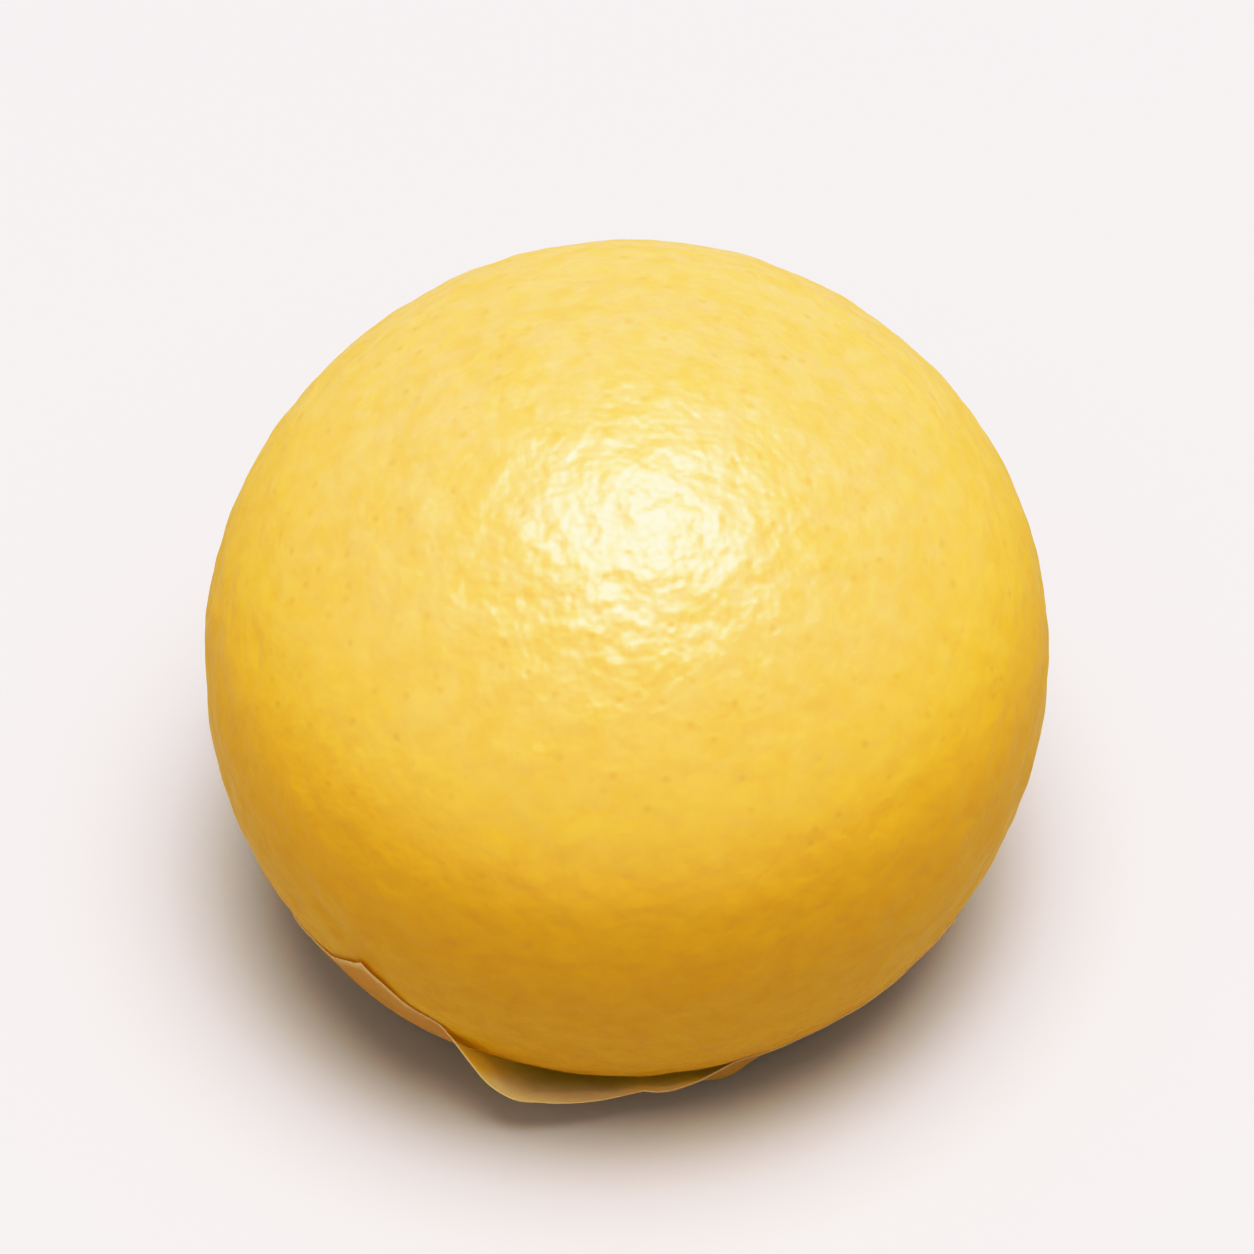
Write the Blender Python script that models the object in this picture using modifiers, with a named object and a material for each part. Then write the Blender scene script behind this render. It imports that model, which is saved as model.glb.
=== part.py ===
"""A steamed custard bun on the square of paper that it was steamed on. Blender 4.5, metres, +Z up.

The origin is the centre of the paper's flat underside, and -Y is the bun's front.
"""

from math import atan2, cos, degrees, hypot, pi, radians, sin

import bmesh
import bpy
import numpy as np
from mathutils import Matrix, Vector

# The dough: a ball whose underside has been pressed flat by its own weight.
HALF_WIDTH = 0.0323
CROWN_RISE = 0.0312  # from the widest level up to the top
BELLY_DROP = 0.0323  # how far the round underside would reach, had it not been pressed flat
PRESSED_SHARE = 0.78  # of that drop is left between the widest level and the base
BASE_FILLET = 0.0022  # how softly the side turns into the base
LEAN = Vector((0.0005, -0.0003))  # how far the top leans off the axis
# Shallow lobes round the dough: how many, their share of the radius, and where the first one stands.
LOBES = ((2, 0.0040, radians(35)), (3, 0.0030, radians(100)), (5, 0.0014, radians(20)))
MERIDIANS = 64
PARALLELS = 32

# The paper: a thin sheet that the dough sits on, and whose sides cling to the dough's underside.
PAPER_WIDTH = 0.0580
PAPER_DEPTH = 0.0540
PAPER_TURN = radians(11)
PAPER_PLACE = Vector((-0.0030, -0.0008))  # where its middle lies under the dough
PAPER_THICK = 0.0003
CONTACT_RADIUS = 0.0172  # the paper lies flat inside this
BRIDGE_BULGE = 0.0001  # how far it stands off where it bridges the dough's undercut
RELAXED_BEND = 0.0280  # the radius that the paper curls up with where it doesn't cling
PAPER_RAYS = 120
PAPER_RINGS = 12
# Where the paper stands away from the dough: a ruffle's start, crest and end, and how far it relaxes.
RUFFLES = (
    (188, 207, 226, 0.05),
    (241, 254, 290, 0.55),
    (262, 277, 290, 0.34),
    (327, 333, 340, 0.03),
    (345, 2, 18, 0.40),
    (22, 33, 44, 0.30),
    (50, 66, 86, 0.75),
    (90, 107, 120, 0.50),
    (126, 139, 157, 0.62),
    (162, 176, 192, 0.42),
)
CREST_ROUNDNESS = 1.6
FLARE_SHARE = 0.75  # of the way from the flat middle to the edge, where a ruffle has opened fully
# Pleats between the flat middle and the edge: direction, half width in degrees, and how far they bulge.
PLEATS = (
    (288, 10, 0.0014),
    (12, 10, 0.0008),
    (78, 8, 0.0009),
    (121, 9, 0.0007),
    (165, 10, 0.0009),
)
# Creases across a corner: direction, distance from the centre, and how fast the paper relaxes past them.
CREASES = (
    (139, 0.0308, 45),
    (48, 0.0300, 30),
    (235, 0.0335, 12),
)
GAP = 0.0003  # left between the paper and the dough
WELD = 0.00001  # points closer than this become one

DOUGH_COLOUR = (0.83, 0.56, 0.12)
PAPER_COLOUR = (0.80, 0.70, 0.60)

BASE_LEVEL = PAPER_THICK + GAP
WIDEST_LEVEL = BASE_LEVEL + PRESSED_SHARE * BELLY_DROP


def clear_scene():
    for obj in list(bpy.data.objects):
        bpy.data.objects.remove(obj, do_unlink=True)


def make_material(name, colour, roughness):
    material = bpy.data.materials.new(name)
    material.use_nodes = True
    surface = material.node_tree.nodes["Principled BSDF"]
    surface.inputs["Base Color"].default_value = (*colour, 1)
    surface.inputs["Roughness"].default_value = roughness
    surface.inputs["Metallic"].default_value = 0
    material.diffuse_color = (*colour, 1)
    return material


def pressed(height):
    """A height above the base, after the base has been pressed flat."""
    share = height / BASE_FILLET
    if share >= 1:
        return height
    return BASE_FILLET * max(share + 1, 0) ** 2 / 4


def profile(latitude):
    """(radius, level) of the dough's even outline at a latitude of the ball that it began as."""
    reach = CROWN_RISE if latitude > 0 else BELLY_DROP
    level = WIDEST_LEVEL + reach * sin(latitude)
    return HALF_WIDTH * cos(latitude), BASE_LEVEL + pressed(level - BASE_LEVEL)


def dough_point(azimuth, latitude):
    """A point on the dough, with its lobes and its lean."""
    radius, level = profile(latitude)
    lobes = sum(share * cos(count * (azimuth - first)) for count, share, first in LOBES)
    radius *= 1 + lobes * cos(latitude) ** 2
    lean = LEAN * (max(level - WIDEST_LEVEL, 0) / CROWN_RISE) ** 2
    return Vector((radius * cos(azimuth) + lean.x, radius * sin(azimuth) + lean.y, level))


def underside_table(steps=240):
    """Lengths along the underside from its centre to the widest level, and the latitudes they reach."""
    latitudes = [-pi / 2 * (1 - step / steps) for step in range(steps + 1)]
    points = np.array([profile(latitude) for latitude in latitudes])
    lengths = np.concatenate([[0], np.cumsum(np.hypot(*np.diff(points, axis=0).T))])
    return lengths, latitudes


def outward(azimuth, latitude, step=0.01):
    """The even outline's outward direction."""
    (low_radius, low_level), (high_radius, high_level) = profile(latitude - step), profile(latitude + step)
    sideways, down = high_level - low_level, high_radius - low_radius
    return Vector((sideways * cos(azimuth), sideways * sin(azimuth), -down)).normalized()


def edge_share(length, reach):
    """0 in the paper's flat middle, and 1 at its edge, which is that reach from the centre."""
    return max((length - CONTACT_RADIUS) / (reach - CONTACT_RADIUS), 0)


def bulge(azimuth):
    """How far the paper stands off the dough half way to its edge."""
    total = BRIDGE_BULGE
    for direction, half_width, extra in PLEATS:
        off = (degrees(azimuth) - direction + 180) % 360 - 180
        total += extra * cos(pi / 2 * min(abs(off) / half_width, 1)) ** 2
    return total


def clinging_point(azimuth, length, reach, table):
    """Where a point of the paper lies if it follows the dough, that length from the centre."""
    latitude = float(np.interp(length, *table))
    away = Vector((0, 0, -1)) if length < CONTACT_RADIUS else outward(azimuth, latitude)
    stand_off = bulge(azimuth) * sin(pi * edge_share(length, reach)) ** 2
    sideways = Vector((cos(azimuth), sin(azimuth), 0))
    return dough_point(azimuth, latitude) + away * BASE_LEVEL + sideways * stand_off


def relaxed_point(azimuth, length):
    """Where it lies if the paper only curls up gently past the flat middle."""
    bend = max(length - CONTACT_RADIUS, 0) / RELAXED_BEND
    radius = min(length, CONTACT_RADIUS) + RELAXED_BEND * sin(bend)
    return Vector((radius * cos(azimuth), radius * sin(azimuth), RELAXED_BEND * (1 - cos(bend))))


def ruffle_share(azimuth, start, crest, end):
    """0 outside a ruffle, and 1 on its crest."""
    past_start = (degrees(azimuth) - start) % 360
    if past_start > (end - start) % 360:
        return 0
    climb = (crest - start) % 360
    fall = (end - crest) % 360
    share = past_start / climb if past_start < climb else 1 - (past_start - climb) / fall
    return sin(pi / 2 * share) ** CREST_ROUNDNESS


def relaxation(azimuth, length, reach):
    """0 where the paper clings to the dough, and up to 1 where it lies relaxed."""
    opened = min(edge_share(length, reach) / FLARE_SHARE, 1)
    share = max(strength * ruffle_share(azimuth, *span) for *span, strength in RUFFLES)
    share *= opened * opened * (3 - 2 * opened)
    for direction, distance, slope in CREASES:
        share += slope * max(length * cos(azimuth - radians(direction)) - distance, 0)
    return min(max(share, 0), 1)


def add_object(name, shape, material, collection):
    mesh = bpy.data.meshes.new(name)
    shape.to_mesh(mesh)
    shape.free()
    mesh.materials.append(material)
    obj = bpy.data.objects.new(name, mesh)
    collection.objects.link(obj)
    return obj


def make_dough(material, collection):
    shape = bmesh.new()
    bmesh.ops.create_uvsphere(shape, u_segments=MERIDIANS, v_segments=PARALLELS, radius=1)
    for vertex in shape.verts:
        x, y, z = vertex.co
        vertex.co = dough_point(atan2(y, x), atan2(z, hypot(x, y)))
    dough = add_object("bun_dough", shape, material, collection)
    dough.data.shade_smooth()
    return dough


def flat_point(turn, ring):
    """Where a point of the flat paper is, by its turn and its ring, and how far the edge is that way."""
    across, along = cos(turn), sin(turn)
    larger = max(abs(across), abs(along))
    edge = Vector((PAPER_WIDTH / 2 * across / larger, PAPER_DEPTH / 2 * along / larger))
    edge.rotate(Matrix.Rotation(PAPER_TURN, 2))
    edge += PAPER_PLACE
    if ring == 0:
        return Vector((0, 0)), edge.length
    contact = edge.normalized() * CONTACT_RADIUS
    return contact.lerp(edge, (ring - 1) / (PAPER_RINGS - 1)), edge.length


def make_paper(material, collection):
    table = underside_table()
    shape = bmesh.new()
    bmesh.ops.create_grid(shape, x_segments=PAPER_RAYS, y_segments=PAPER_RINGS, size=1)
    for vertex in shape.verts:
        flat, reach = flat_point(-pi * vertex.co.x, round((vertex.co.y + 1) / 2 * PAPER_RINGS))
        azimuth, length = atan2(flat.y, flat.x), flat.length
        clinging = clinging_point(azimuth, length, reach, table)
        vertex.co = clinging.lerp(relaxed_point(azimuth, length), relaxation(azimuth, length, reach))
        if length < CONTACT_RADIUS + WELD:
            vertex.co.z = 0
    bmesh.ops.remove_doubles(shape, verts=shape.verts, dist=WELD)
    paper = add_object("paper_liner", shape, material, collection)
    thickness = paper.modifiers.new("thickness", "SOLIDIFY")
    thickness.thickness = PAPER_THICK
    thickness.offset = 1
    paper.data.shade_smooth()
    return paper


def main():
    clear_scene()
    collection = bpy.data.collections.new("steamed_bun")
    bpy.context.scene.collection.children.link(collection)
    make_dough(make_material("yellow_dough", DOUGH_COLOUR, 0.4), collection)
    make_paper(make_material("steaming_paper", PAPER_COLOUR, 0.7), collection)


main()
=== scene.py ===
import math

import bmesh
import bpy
import numpy as np
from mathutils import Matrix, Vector, noise


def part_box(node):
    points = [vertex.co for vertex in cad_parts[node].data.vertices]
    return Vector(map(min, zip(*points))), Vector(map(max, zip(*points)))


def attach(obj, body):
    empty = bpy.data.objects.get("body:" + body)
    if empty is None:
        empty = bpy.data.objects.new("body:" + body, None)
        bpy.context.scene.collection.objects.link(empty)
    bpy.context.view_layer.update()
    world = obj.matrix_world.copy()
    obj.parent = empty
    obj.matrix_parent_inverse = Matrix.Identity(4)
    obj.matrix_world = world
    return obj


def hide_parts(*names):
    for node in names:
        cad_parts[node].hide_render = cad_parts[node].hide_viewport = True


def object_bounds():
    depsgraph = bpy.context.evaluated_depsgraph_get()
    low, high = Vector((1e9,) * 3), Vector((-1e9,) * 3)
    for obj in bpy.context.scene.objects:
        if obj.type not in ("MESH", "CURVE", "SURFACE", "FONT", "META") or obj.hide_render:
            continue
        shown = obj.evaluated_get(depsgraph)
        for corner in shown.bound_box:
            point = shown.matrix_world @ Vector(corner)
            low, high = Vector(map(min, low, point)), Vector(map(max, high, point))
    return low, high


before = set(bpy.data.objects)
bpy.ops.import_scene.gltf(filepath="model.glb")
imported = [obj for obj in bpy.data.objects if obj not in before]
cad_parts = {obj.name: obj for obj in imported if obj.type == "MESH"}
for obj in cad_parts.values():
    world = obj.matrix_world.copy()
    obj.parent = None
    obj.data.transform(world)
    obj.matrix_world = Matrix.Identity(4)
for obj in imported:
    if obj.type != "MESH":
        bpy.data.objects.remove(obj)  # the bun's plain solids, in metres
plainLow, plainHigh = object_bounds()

doughLow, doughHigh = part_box("bun_dough")
bunMiddle = (plainLow + plainHigh) / 2

# camera and light

camera = {
    "elevation": 47,  # degrees above the table
    "distance": 0.66,
    "viewWidth": 0.096,  # metres that fit across the picture at the bun
}

lights = {
    "overheadBox": {"place": (0.15, -0.22, 2.48), "size": 1.90, "watts": 57, "tint": (1, 0.97, 0.95)},
    "overheadBulb": {"place": (0.15, -0.22, 2.47), "size": 0.60, "watts": 6.8, "tint": (0.90, 0.62, 1)},
    "leftWall": {"place": (-0.46, -0.30, 0.04), "size": 0.40, "watts": 0.13, "tint": (1, 0.98, 0.92)},
}

room = {
    "tint": (1.0, 0.985, 0.97),
    "strength": 0.33,
    "floorWidth": 6.0,
    "floorTint": (0.748, 0.730, 0.728),
    "floorRoughness": 0.85,
    "floorDrop": 0.00002,  # keeps the floor just under the sheet
}

# how the camera answers to brightness: what comes in, and what the picture shows
cameraResponse = {
    "brightest": 2.0,
    "points": (
        (0.083, 0.12),
        (0.151, 0.30),
        (0.275, 0.624),
        (0.40, 0.855),
        (0.50, 0.947),
        (0.62, 0.975),
    ),
    "white": 0.99,
}


def aimAt(thing, target):
    thing.rotation_euler = (target - thing.location).to_track_quat("-Z", "Y").to_euler()


def addCamera():
    rise = math.radians(camera["elevation"])
    lens = bpy.data.cameras.new("tableCamera")
    lens.sensor_width = 36
    lens.lens = lens.sensor_width * camera["distance"] / camera["viewWidth"]
    lens.clip_start = 0.01
    lens.clip_end = 20
    eye = bpy.data.objects.new("tableCamera", lens)
    bpy.context.collection.objects.link(eye)
    eye.location = bunMiddle + Vector((0, -math.cos(rise), math.sin(rise))) * camera["distance"]
    aimAt(eye, bunMiddle)
    bpy.context.scene.camera = eye


def addLights():
    for name, plan in lights.items():
        lamp = bpy.data.lights.new(name, "AREA")
        lamp.shape = "DISK"
        lamp.size = plan["size"]
        lamp.energy = plan["watts"]
        lamp.color = plan["tint"]
        box = bpy.data.objects.new(name, lamp)
        box.visible_camera = False
        bpy.context.collection.objects.link(box)
        box.location = plan["place"]
        aimAt(box, bunMiddle)


def addRoom():
    world = bpy.data.worlds.new("paleRoom")
    bpy.context.scene.world = world
    world.use_nodes = True
    air = world.node_tree.nodes["Background"]
    air.inputs["Color"].default_value = (*room["tint"], 1)
    air.inputs["Strength"].default_value = room["strength"]

    table = bmesh.new()
    bmesh.ops.create_circle(table, cap_ends=True, segments=96, radius=room["floorWidth"] / 2)
    mesh = bpy.data.meshes.new("paleFloor")
    table.to_mesh(mesh)
    table.free()
    floor = bpy.data.objects.new("paleFloor", mesh)
    bpy.context.collection.objects.link(floor)
    floor.location.z = plainLow.z - room["floorDrop"]
    finish, nodes, links, surface = newFinish("paleFloorFinish")
    surface.inputs["Base Color"].default_value = (*room["floorTint"], 1)
    surface.inputs["Roughness"].default_value = room["floorRoughness"]
    mesh.materials.append(finish)


def setCameraResponse():
    view = bpy.context.scene.view_settings
    view.view_transform = "Standard"
    view.look = "None"
    view.use_curve_mapping = True
    mapping = view.curve_mapping
    mapping.white_level = (cameraResponse["brightest"],) * 3
    curve = mapping.curves[3]
    for shown in cameraResponse["points"]:
        curve.points.new(*shown)
    curve.points[len(curve.points) - 1].location = (1, cameraResponse["white"])
    mapping.update()


# small helpers for the finishes

def newFinish(name):
    finish = bpy.data.materials.new(name)
    finish.use_nodes = True
    nodes, links = finish.node_tree.nodes, finish.node_tree.links
    return finish, nodes, links, nodes["Principled BSDF"]


def addNoise(nodes, links, grain, spread, detail=2, roughness=0.5, warp=0):
    # grain is the size of one blotch in metres
    cloud = nodes.new("ShaderNodeTexNoise")
    cloud.inputs["Scale"].default_value = 1 / grain
    cloud.inputs["Detail"].default_value = detail
    cloud.inputs["Roughness"].default_value = roughness
    cloud.inputs["Distortion"].default_value = warp
    links.new(spread.outputs["Object"], cloud.inputs["Vector"])
    return cloud.outputs["Fac"]


def addRamp(nodes, links, source, stops):
    ramp = nodes.new("ShaderNodeValToRGB")
    ramp.color_ramp.interpolation = "B_SPLINE"
    while len(ramp.color_ramp.elements) < len(stops):
        ramp.color_ramp.elements.new(0.5)
    for element, (place, tint) in zip(ramp.color_ramp.elements, stops):
        element.position = place
        element.color = (*tint, 1)
    links.new(source, ramp.inputs["Fac"])
    return ramp.outputs["Color"]


def addRange(nodes, links, source, fromLow, fromHigh, toLow, toHigh):
    fit = nodes.new("ShaderNodeMapRange")
    fit.interpolation_type = "SMOOTHSTEP"
    ends = {"From Min": fromLow, "From Max": fromHigh, "To Min": toLow, "To Max": toHigh}
    for name, value in ends.items():
        fit.inputs[name].default_value = value
    links.new(source, fit.inputs["Value"])
    return fit.outputs["Result"]


def mixColours(nodes, links, share, first, second, blend="MIX"):
    mix = nodes.new("ShaderNodeMix")
    mix.data_type = "RGBA"
    mix.blend_type = blend
    for place, value in (("Factor", share), ("A", first), ("B", second)):
        socket = next(s for s in mix.inputs if s.name == place and s.enabled)
        if isinstance(value, bpy.types.NodeSocket):
            links.new(value, socket)
        elif isinstance(value, tuple):
            socket.default_value = (*value, 1)
        else:
            socket.default_value = value
    return next(s for s in mix.outputs if s.enabled)


def addBump(nodes, links, height, depth, strength, before=None):
    bump = nodes.new("ShaderNodeBump")
    bump.inputs["Distance"].default_value = depth
    bump.inputs["Strength"].default_value = strength
    links.new(height, bump.inputs["Height"])
    if before:
        links.new(before, bump.inputs["Normal"])
    return bump.outputs["Normal"]


def softStep(value, low, high):
    share = np.clip((value - low) / (high - low), 0, 1)
    return share * share * (3 - 2 * share)


def makePiece(name, mesh, nodeName):
    piece = bpy.data.objects.new(name, mesh)
    bpy.context.collection.objects.link(piece)
    mesh.shade_smooth()
    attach(piece, "root")
    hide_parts(nodeName)
    return piece


# the dough

dough = {
    "halfWidth": 0.0323,
    "crownRise": 0.0312,  # from the widest level up to the top
    "pressedShare": 0.78,  # how much of the round underside is left above the base
    "fillet": 0.0022,  # how softly the side turns into the base
    "lean": (0.0005, -0.0003),
    "lobes": ((2, 0.0040, 35), (3, 0.0030, 100), (5, 0.0014, 20)),  # count, share of radius, degrees
    "cuts": 126,  # how finely the skin's mesh is cut
}

# wavelength and height of each layer of the skin's relief, in metres
skinRelief = {
    "swell": (0.0130, 0.00009),
    "dimples": (0.0032, 0.000160),
    "wrinkles": (0.0016, 0.000060),
    "starts": (0.0010, 0.0060),  # the skin is smooth below these levels, and full above them
}

paper = {
    "width": 0.0580,
    "depth": 0.0540,
    "turn": 11,
    "place": (-0.0030, -0.0008),  # where the sheet's middle lies under the dough
    "thickness": 0.00010,
    "gap": 0.00001,  # between the sheet and the dough's skin
    "contactRadius": 0.0172,
    "bridgeBulge": 0.0001,  # how far the sheet stands off where it bridges the dough's undercut
    "relaxedBend": 0.0280,  # the radius that it curls up with where it doesn't cling
    "crestRoundness": 1.6,
    "flareShare": 0.75,  # of the way out to the edge, where a ruffle has opened fully
    "crumpleSize": 0.0045,
    "crumpleDepth": 0.00035,
    "crumpleReach": 0.004,
    "weld": 0.000002,  # points closer than this become one
    "rays": 480,
    "rings": 48,
}

widestLevel = doughHigh.z - dough["crownRise"]
baseLevel = paper["thickness"] + paper["gap"]
bellyDrop = (widestLevel - baseLevel) / dough["pressedShare"]


def pressed(height):
    # heights over the base, once the dough's own weight has flattened it
    share = height / dough["fillet"]
    return np.where(share >= 1, height, dough["fillet"] * np.maximum(share + 1, 0) ** 2 / 4)


def doughProfile(latitude):
    reach = np.where(latitude > 0, dough["crownRise"], bellyDrop)
    level = widestLevel + reach * np.sin(latitude)
    return dough["halfWidth"] * np.cos(latitude), baseLevel + pressed(level - baseLevel)


def doughSurface(azimuth, latitude):
    radius, level = doughProfile(latitude)
    lobes = 0
    for count, share, first in dough["lobes"]:
        lobes = lobes + share * np.cos(count * (azimuth - math.radians(first)))
    radius = radius * (1 + lobes * np.cos(latitude) ** 2)
    lean = (np.maximum(level - widestLevel, 0) / dough["crownRise"]) ** 2
    x = radius * np.cos(azimuth) + dough["lean"][0] * lean
    y = radius * np.sin(azimuth) + dough["lean"][1] * lean
    return np.stack([x, y, level], axis=-1)


def layerOfNoise(points, wavelength, offset):
    shift = Vector((offset, offset * 0.37, -offset * 0.71))
    return np.array([noise.noise(Vector(point) / wavelength + shift) for point in points])


def skinHeights(points):
    swellSize, swellHeight = skinRelief["swell"]
    dimpleSize, dimpleHeight = skinRelief["dimples"]
    wrinkleSize, wrinkleHeight = skinRelief["wrinkles"]
    swell = layerOfNoise(points, swellSize, 3.1)
    dimples = layerOfNoise(points, dimpleSize, 11.7)
    wrinkles = layerOfNoise(points, wrinkleSize, 23.9)
    skin = dimples * dimpleHeight + wrinkles * wrinkleHeight
    # what lies under the paper stays smooth
    free = softStep(points[:, 2], *skinRelief["starts"])
    return (swell * swellHeight + skin) * free


def makeDough():
    ball = bmesh.new()
    bmesh.ops.create_cube(ball, size=2)
    bmesh.ops.subdivide_edges(ball, edges=ball.edges, cuts=dough["cuts"], use_grid_fill=True)
    mesh = bpy.data.meshes.new("doughMesh")
    ball.to_mesh(mesh)
    ball.free()
    count = len(mesh.vertices)
    cube = np.empty(count * 3)
    mesh.vertices.foreach_get("co", cube)
    rays = np.tan(cube.reshape(count, 3) * math.pi / 4)
    rays /= np.linalg.norm(rays, axis=1)[:, None]
    azimuth = np.arctan2(rays[:, 1], rays[:, 0])
    latitude = np.arcsin(np.clip(rays[:, 2], -1, 1))
    points = doughSurface(azimuth, latitude)
    away = points - np.array([0, 0, widestLevel])
    away /= np.linalg.norm(away, axis=1)[:, None]
    points += away * skinHeights(points)[:, None]
    mesh.vertices.foreach_set("co", points.ravel())
    mesh.update()
    piece = makePiece("steamedDough", mesh, "bun_dough")
    mesh.materials.append(doughFinish())
    return piece


doughLook = {
    # the skin's colour at five heights over the table, in metres: deeper and darker towards the bottom
    # as painted shade, and paler on the crown as painted sheen
    "yellowsWithPaintedShade": (
        (0.020, (0.598, 0.358, 0.002)),
        (0.030, (0.724, 0.402, 0.003)),
        (0.038, (0.914, 0.552, 0.034)),
        (0.047, (0.960, 0.600, 0.205)),
        (0.056, (0.950, 0.580, 0.214)),
    ),
    "mottle": (0.95, 0.91, 0.52),  # what the darkest blotches multiply the yellow by
    "mottleRange": (0.36, 0.60),
    "blotchSize": 0.0050,
    "freckleSize": 0.0019,
    "freckleShare": 0.65,
    "pore": (0.60, 0.34, 0.02),
    "poreSpacing": 0.0021,
    "poreWidth": 0.25,  # a share of the spacing
    "poreTint": 0.30,
    "poreDepth": 0.00003,
    "sheen": 0.45,  # roughness of the moist skin
    "sheenSpread": 0.06,
    "sheenSize": 0.0020,
    "dryCoat": 0.13,
    "moistPlace": (0.0, -0.014, 0.054),  # the crown is moist round this point, and the sides are drier
    "moistReach": (0.019, 0.031),
    "coatRoughness": 0.385,
    "coatBend": 1.84,  # how strongly the moist film mirrors light
    "drySheen": 0.03,
    "glow": 0.35,  # how much light travels through the dough
    "glowDepth": 0.0030,
    "glowTint": (1.0, 0.55, 0.14),
    "peelSize": 0.00130,
    "peelDepth": 0.00026,
    "wetPeelDepth": 0.00018,  # the moist film over the skin fills it in a little
}


def doughFinish():
    finish, nodes, links, surface = newFinish("yellowDough")
    spread = nodes.new("ShaderNodeTexCoord")
    split = nodes.new("ShaderNodeSeparateXYZ")
    links.new(spread.outputs["Object"], split.inputs["Vector"])
    crown = doughHigh.z
    share = nodes.new("ShaderNodeMath")
    share.operation = "DIVIDE"
    links.new(split.outputs["Z"], share.inputs[0])
    share.inputs[1].default_value = crown
    # the ramp by height paints shade low on the dough and sheen on its crown
    stops = tuple((height / crown, tint) for height, tint in doughLook["yellowsWithPaintedShade"])
    yellowWithPaintedShade = addRamp(nodes, links, share.outputs["Value"], stops)

    blotches = addNoise(nodes, links, doughLook["blotchSize"], spread, detail=3)
    freckles = addNoise(nodes, links, doughLook["freckleSize"], spread, detail=2)
    both = mixColours(nodes, links, doughLook["freckleShare"], blotches, freckles)
    dark, plain = doughLook["mottleRange"]
    mottle = addRamp(nodes, links, both, ((dark, doughLook["mottle"]), (plain, (1.0, 1.0, 1.0))))
    colour = mixColours(nodes, links, 1.0, yellowWithPaintedShade, mottle, "MULTIPLY")

    # scattered pores, a little darker than the skin
    pores = nodes.new("ShaderNodeTexVoronoi")
    pores.inputs["Scale"].default_value = 1 / doughLook["poreSpacing"]
    links.new(spread.outputs["Object"], pores.inputs["Vector"])
    pits = addRange(nodes, links, pores.outputs["Distance"], 0, doughLook["poreWidth"], 1, 0)
    pitTint = nodes.new("ShaderNodeMath")
    pitTint.operation = "MULTIPLY"
    links.new(pits, pitTint.inputs[0])
    pitTint.inputs[1].default_value = doughLook["poreTint"]
    colour = mixColours(nodes, links, pitTint.outputs["Value"], colour, doughLook["pore"])
    links.new(colour, surface.inputs["Base Color"])

    gloss = addNoise(nodes, links, doughLook["sheenSize"], spread, detail=3)
    dull = doughLook["sheen"] + doughLook["sheenSpread"]
    bright = doughLook["sheen"] - doughLook["sheenSpread"]
    links.new(addRange(nodes, links, gloss, 0.3, 0.7, bright, dull), surface.inputs["Roughness"])

    # orange-peel skin, finer than the mesh
    peel = addNoise(nodes, links, doughLook["peelSize"], spread, detail=1.2)
    sunken = addBump(nodes, links, pits, -doughLook["poreDepth"], 1.0)
    skin = addBump(nodes, links, peel, doughLook["peelDepth"], 0.8, sunken)
    film = addBump(nodes, links, peel, doughLook["wetPeelDepth"], 1.0, sunken)
    links.new(skin, surface.inputs["Normal"])
    links.new(film, surface.inputs["Coat Normal"])

    surface.inputs["Subsurface Weight"].default_value = doughLook["glow"]
    surface.inputs["Subsurface Radius"].default_value = doughLook["glowTint"]
    surface.inputs["Subsurface Scale"].default_value = doughLook["glowDepth"]
    surface.inputs["Specular IOR Level"].default_value = doughLook["drySheen"]
    apart = nodes.new("ShaderNodeVectorMath")
    apart.operation = "DISTANCE"
    links.new(spread.outputs["Object"], apart.inputs[0])
    apart.inputs[1].default_value = doughLook["moistPlace"]
    near, far = doughLook["moistReach"]
    moist = addRange(nodes, links, apart.outputs["Value"], near, far, 1.0, doughLook["dryCoat"])
    links.new(moist, surface.inputs["Coat Weight"])
    surface.inputs["Coat Roughness"].default_value = doughLook["coatRoughness"]
    surface.inputs["Coat IOR"].default_value = doughLook["coatBend"]
    return finish


# the sheet of paper

# ruffles: where one starts, crests and ends in degrees, and how far the sheet stands off the dough there
ruffles = (
    (188, 207, 226, 0.02),
    (241, 254, 290, 0.55),
    (262, 277, 290, 0.34),
    (327, 333, 340, 0.03),
    (345, 2, 18, 0.40),
    (22, 33, 44, 0.30),
    (50, 66, 86, 0.75),
    (90, 107, 120, 0.50),
    (126, 139, 157, 0.62),
    (162, 176, 192, 0.42),
)

# pleats that bulge between the base and the sheet's edge: direction, half width in degrees, how far
pleats = (
    (288, 10, 0.0014),
    (12, 10, 0.0008),
    (78, 8, 0.0009),
    (121, 9, 0.0007),
    (165, 10, 0.0009),
)

# creases across a corner: direction, distance from the centre, how fast the sheet lifts off past them
creases = (
    (139, 0.0308, 45),
    (48, 0.0300, 30),
    (235, 0.0335, 4),
)


def undersideTable(steps=400):
    latitudes = np.linspace(-math.pi / 2, 0, steps)
    radius, level = doughProfile(latitudes)
    lengths = np.concatenate([[0], np.cumsum(np.hypot(np.diff(radius), np.diff(level)))])
    return lengths, latitudes


def edgeShare(length, reach):
    # 0 round the flat middle, and 1 at the sheet's edge
    return (length - paper["contactRadius"]) / (reach - paper["contactRadius"])


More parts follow.
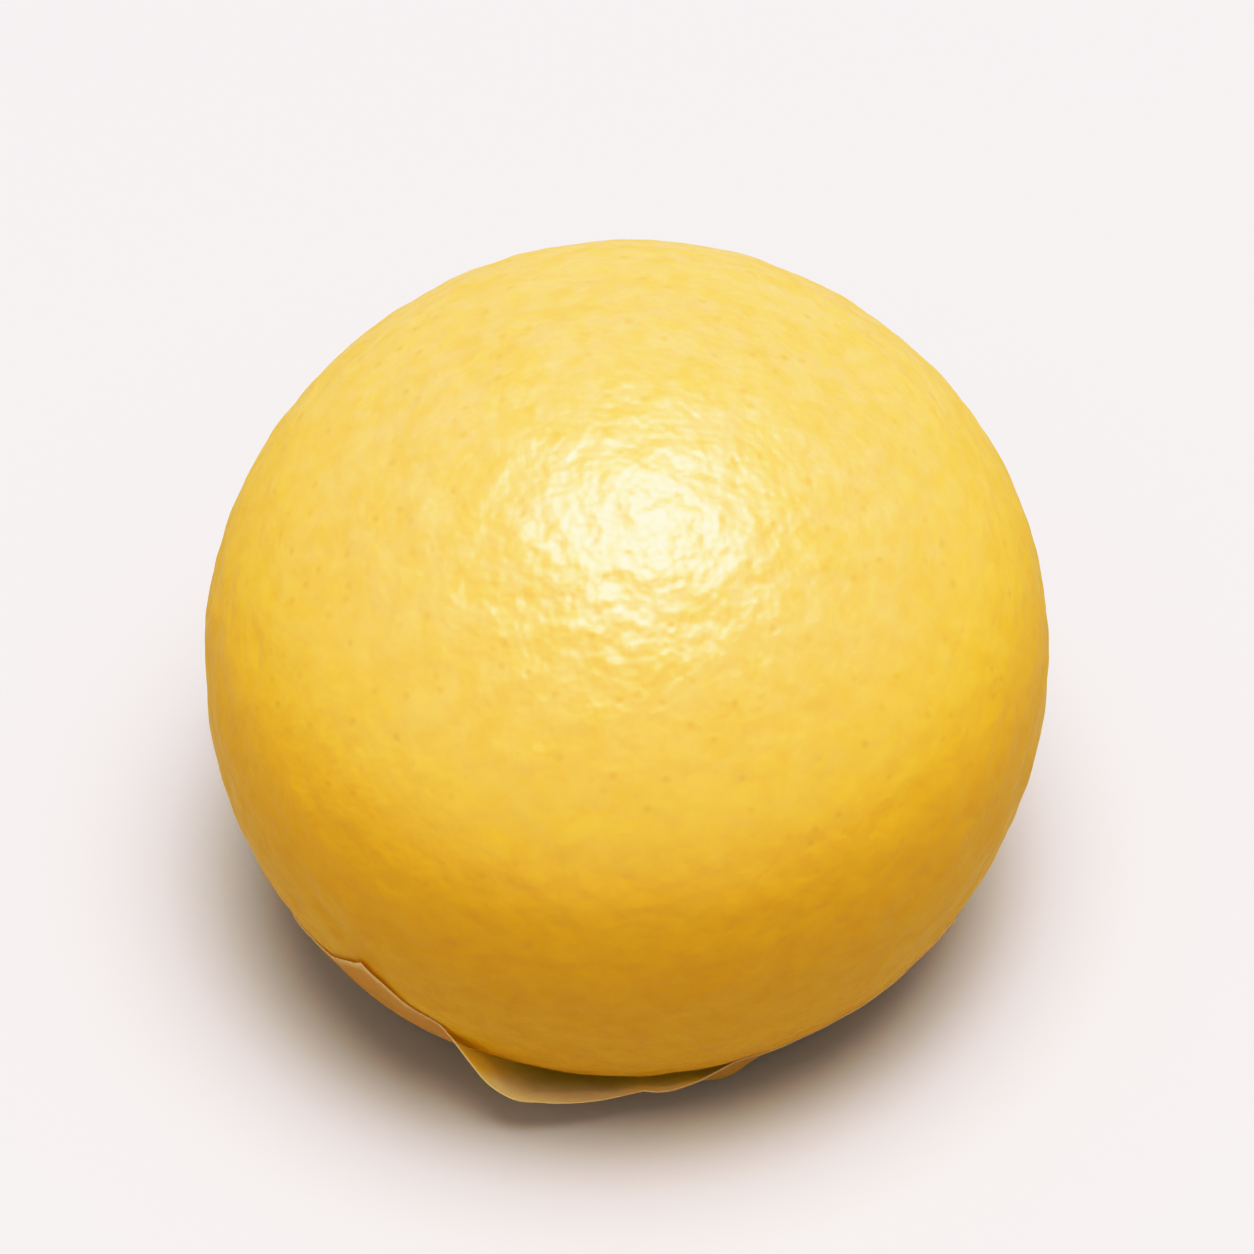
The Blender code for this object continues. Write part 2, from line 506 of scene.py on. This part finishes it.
def clingingSheet(azimuth, length, reach):
    lengths, latitudes = undersideTable()
    latitude = np.interp(length, lengths, latitudes)
    step = 0.01
    lowRadius, lowLevel = doughProfile(latitude - step)
    highRadius, highLevel = doughProfile(latitude + step)
    sideways, down = highLevel - lowLevel, highRadius - lowRadius
    size = np.hypot(sideways, down)
    flat = length < paper["contactRadius"]
    sideways = np.where(flat, 0, sideways / size)
    down = np.where(flat, 1, down / size)
    bridged = np.clip(edgeShare(length, reach), 0, 1)
    bulge = paper["bridgeBulge"]
    for direction, halfWidth, extra in pleats:
        off = (np.degrees(azimuth) - direction + 180) % 360 - 180
        bulge = bulge + extra * np.cos(np.clip(off / halfWidth, -1, 1) * math.pi / 2) ** 2
    sideways = sideways * baseLevel + bulge * np.sin(math.pi * bridged) ** 2
    away = np.stack([sideways * np.cos(azimuth), sideways * np.sin(azimuth), -down * baseLevel], axis=-1)
    return doughSurface(azimuth, latitude) + away


def relaxedSheet(azimuth, length):
    bend = np.maximum(length - paper["contactRadius"], 0) / paper["relaxedBend"]
    radius = np.minimum(length, paper["contactRadius"]) + paper["relaxedBend"] * np.sin(bend)
    level = paper["relaxedBend"] * (1 - np.cos(bend))
    return np.stack([radius * np.cos(azimuth), radius * np.sin(azimuth), level], axis=-1)


def relaxation(azimuth, length, reach):
    turn = np.degrees(azimuth)
    share = np.zeros_like(azimuth)
    for start, top, end, strength in ruffles:
        past = (turn - start) % 360
        climb, whole = (top - start) % 360, (end - start) % 360
        ridge = np.where(past < climb, past / climb, (whole - past) / (whole - climb))
        crest = strength * np.sin(np.clip(ridge, 0, 1) * math.pi / 2) ** paper["crestRoundness"]
        share = np.maximum(share, crest)
    share *= softStep(edgeShare(length, reach), 0.0, paper["flareShare"])
    for direction, distance, slope in creases:
        share += slope * np.maximum(length * np.cos(azimuth - math.radians(direction)) - distance, 0)
    return np.clip(share, 0, 1)


def flatSheet(turn, ring):
    # where the points lie while the sheet is still flat
    across, along = np.cos(turn), np.sin(turn)
    reach = np.maximum(np.abs(across), np.abs(along))
    x = paper["width"] / 2 * across / reach
    y = paper["depth"] / 2 * along / reach
    tilt = math.radians(paper["turn"])
    across = x * math.cos(tilt) - y * math.sin(tilt)
    along = x * math.sin(tilt) + y * math.cos(tilt)
    edge = np.stack([across, along], axis=-1) + paper["place"]
    length = np.linalg.norm(edge, axis=-1)
    inner = paper["contactRadius"] / length
    middleRings = paper["rings"] // 4
    outward = (ring - middleRings) / (paper["rings"] - middleRings)
    share = np.where(ring < middleRings, inner * ring / middleRings, inner + (1 - inner) * outward)
    return edge * share[:, None], length


def makePaper():
    sheet = bmesh.new()
    bmesh.ops.create_grid(sheet, x_segments=paper["rays"], y_segments=paper["rings"], size=1)
    corners = np.array([vertex.co for vertex in sheet.verts])
    ring = np.round((corners[:, 1] + 1) / 2 * paper["rings"])
    flat, reach = flatSheet(-math.pi * corners[:, 0], ring)
    azimuth = np.arctan2(flat[:, 1], flat[:, 0])
    length = np.linalg.norm(flat, axis=-1)
    loose = relaxation(azimuth, length, reach)
    tight = clingingSheet(azimuth, length, reach)
    tight[:, :2] *= 1 + (skinHeights(tight) / np.hypot(tight[:, 0], tight[:, 1]))[:, None]
    points = tight * (1 - loose)[:, None] + relaxedSheet(azimuth, length) * loose[:, None]
    crumple = layerOfNoise(np.column_stack([flat, flat[:, 0] * 0]), paper["crumpleSize"], 5.3)
    outer = softStep(length, paper["contactRadius"], paper["contactRadius"] + paper["crumpleReach"])
    points[:, 2] -= np.abs(crumple) * paper["crumpleDepth"] * outer * softStep(loose, 0, 0.3)
    points[:, 2] = np.where(length < paper["contactRadius"] * 1.001, 0, np.maximum(points[:, 2], 0))
    wetLayer = sheet.verts.layers.float.new("wet")
    out = edgeShare(length, reach)
    # the sheet is dry where it stands off the dough; along its very edge it is paler, partly dry and
    # partly a painted sheen where the rim catches light
    driedAndEdgeSheen = np.maximum(softStep(loose, 0.12, 0.5) * softStep(out, 0.3, 0.9), softStep(out, 0.94, 1.0))
    for vertex, point, damp in zip(sheet.verts, points, 1 - driedAndEdgeSheen):
        vertex.co = point
        vertex[wetLayer] = damp
    bmesh.ops.remove_doubles(sheet, verts=sheet.verts, dist=paper["weld"])
    sheet.faces.index_update()
    edgeFaces = [face.index for face in sheet.faces if any(edge.is_boundary for edge in face.edges)]
    mesh = bpy.data.meshes.new("paperMesh")
    sheet.to_mesh(mesh)
    sheet.free()
    piece = makePiece("steamingPaper", mesh, "paper_liner")
    for index in edgeFaces:
        mesh.polygons[index].use_smooth = False
    solid = piece.modifiers.new("thickness", "SOLIDIFY")
    solid.thickness = paper["thickness"]
    solid.offset = 1
    mesh.materials.append(paperFinish())
    return piece


paperLook = {
    "dry": (0.96, 0.87, 0.60),
    "wet": (0.905, 0.745, 0.15),
    "roughness": 0.55,
    "crinkleSize": 0.0070,
    "crinkleDepth": 0.00025,
    "fibreSize": 0.0007,
    "fibreDepth": 0.00002,
    "dampSize": 0.0060,
    "letThrough": 0.72,  # the share of the light that passes through the sheet
}


def paperFinish():
    finish, nodes, links, surface = newFinish("steamedPaper")
    spread = nodes.new("ShaderNodeTexCoord")
    wetness = nodes.new("ShaderNodeAttribute")
    wetness.attribute_name = "wet"
    cloud = addNoise(nodes, links, paperLook["dampSize"], spread, detail=3)
    soaked = nodes.new("ShaderNodeMath")
    soaked.operation = "MULTIPLY"
    links.new(addRange(nodes, links, wetness.outputs["Fac"], 0, 1, 0, 1), soaked.inputs[0])
    links.new(addRange(nodes, links, cloud, 0.3, 0.6, 0.8, 1.0), soaked.inputs[1])
    fibres = addNoise(nodes, links, paperLook["fibreSize"], spread, detail=4, roughness=0.7)
    crinkles = nodes.new("ShaderNodeTexVoronoi")
    crinkles.feature = "DISTANCE_TO_EDGE"
    crinkles.inputs["Scale"].default_value = 1 / paperLook["crinkleSize"]
    links.new(spread.outputs["Object"], crinkles.inputs["Vector"])
    ridges = addRange(nodes, links, crinkles.outputs["Distance"], 0, 0.25, 1, 0)
    darkerFibreTone = tuple(value * 0.94 for value in paperLook["dry"])
    dry = addRamp(nodes, links, fibres, ((0.3, darkerFibreTone), (0.7, paperLook["dry"])))
    colour = mixColours(nodes, links, soaked.outputs["Value"], dry, paperLook["wet"])
    links.new(colour, surface.inputs["Base Color"])
    surface.inputs["Roughness"].default_value = paperLook["roughness"]
    relief = addBump(nodes, links, fibres, paperLook["fibreDepth"], 0.6)
    relief = addBump(nodes, links, ridges, paperLook["crinkleDepth"], 0.7, relief)
    links.new(relief, surface.inputs["Normal"])
    through = nodes.new("ShaderNodeBsdfTranslucent")
    links.new(relief, through.inputs["Normal"])
    links.new(colour, through.inputs["Color"])
    blend = nodes.new("ShaderNodeMixShader")
    blend.inputs["Fac"].default_value = paperLook["letThrough"]
    links.new(surface.outputs["BSDF"], blend.inputs[1])
    links.new(through.outputs["BSDF"], blend.inputs[2])
    links.new(blend.outputs["Shader"], nodes["Material Output"].inputs["Surface"])
    return finish


print("camera, light and floor")
addCamera()
addLights()
addRoom()
setCameraResponse()
print("dough")
makeDough()
print("paper")
makePaper()
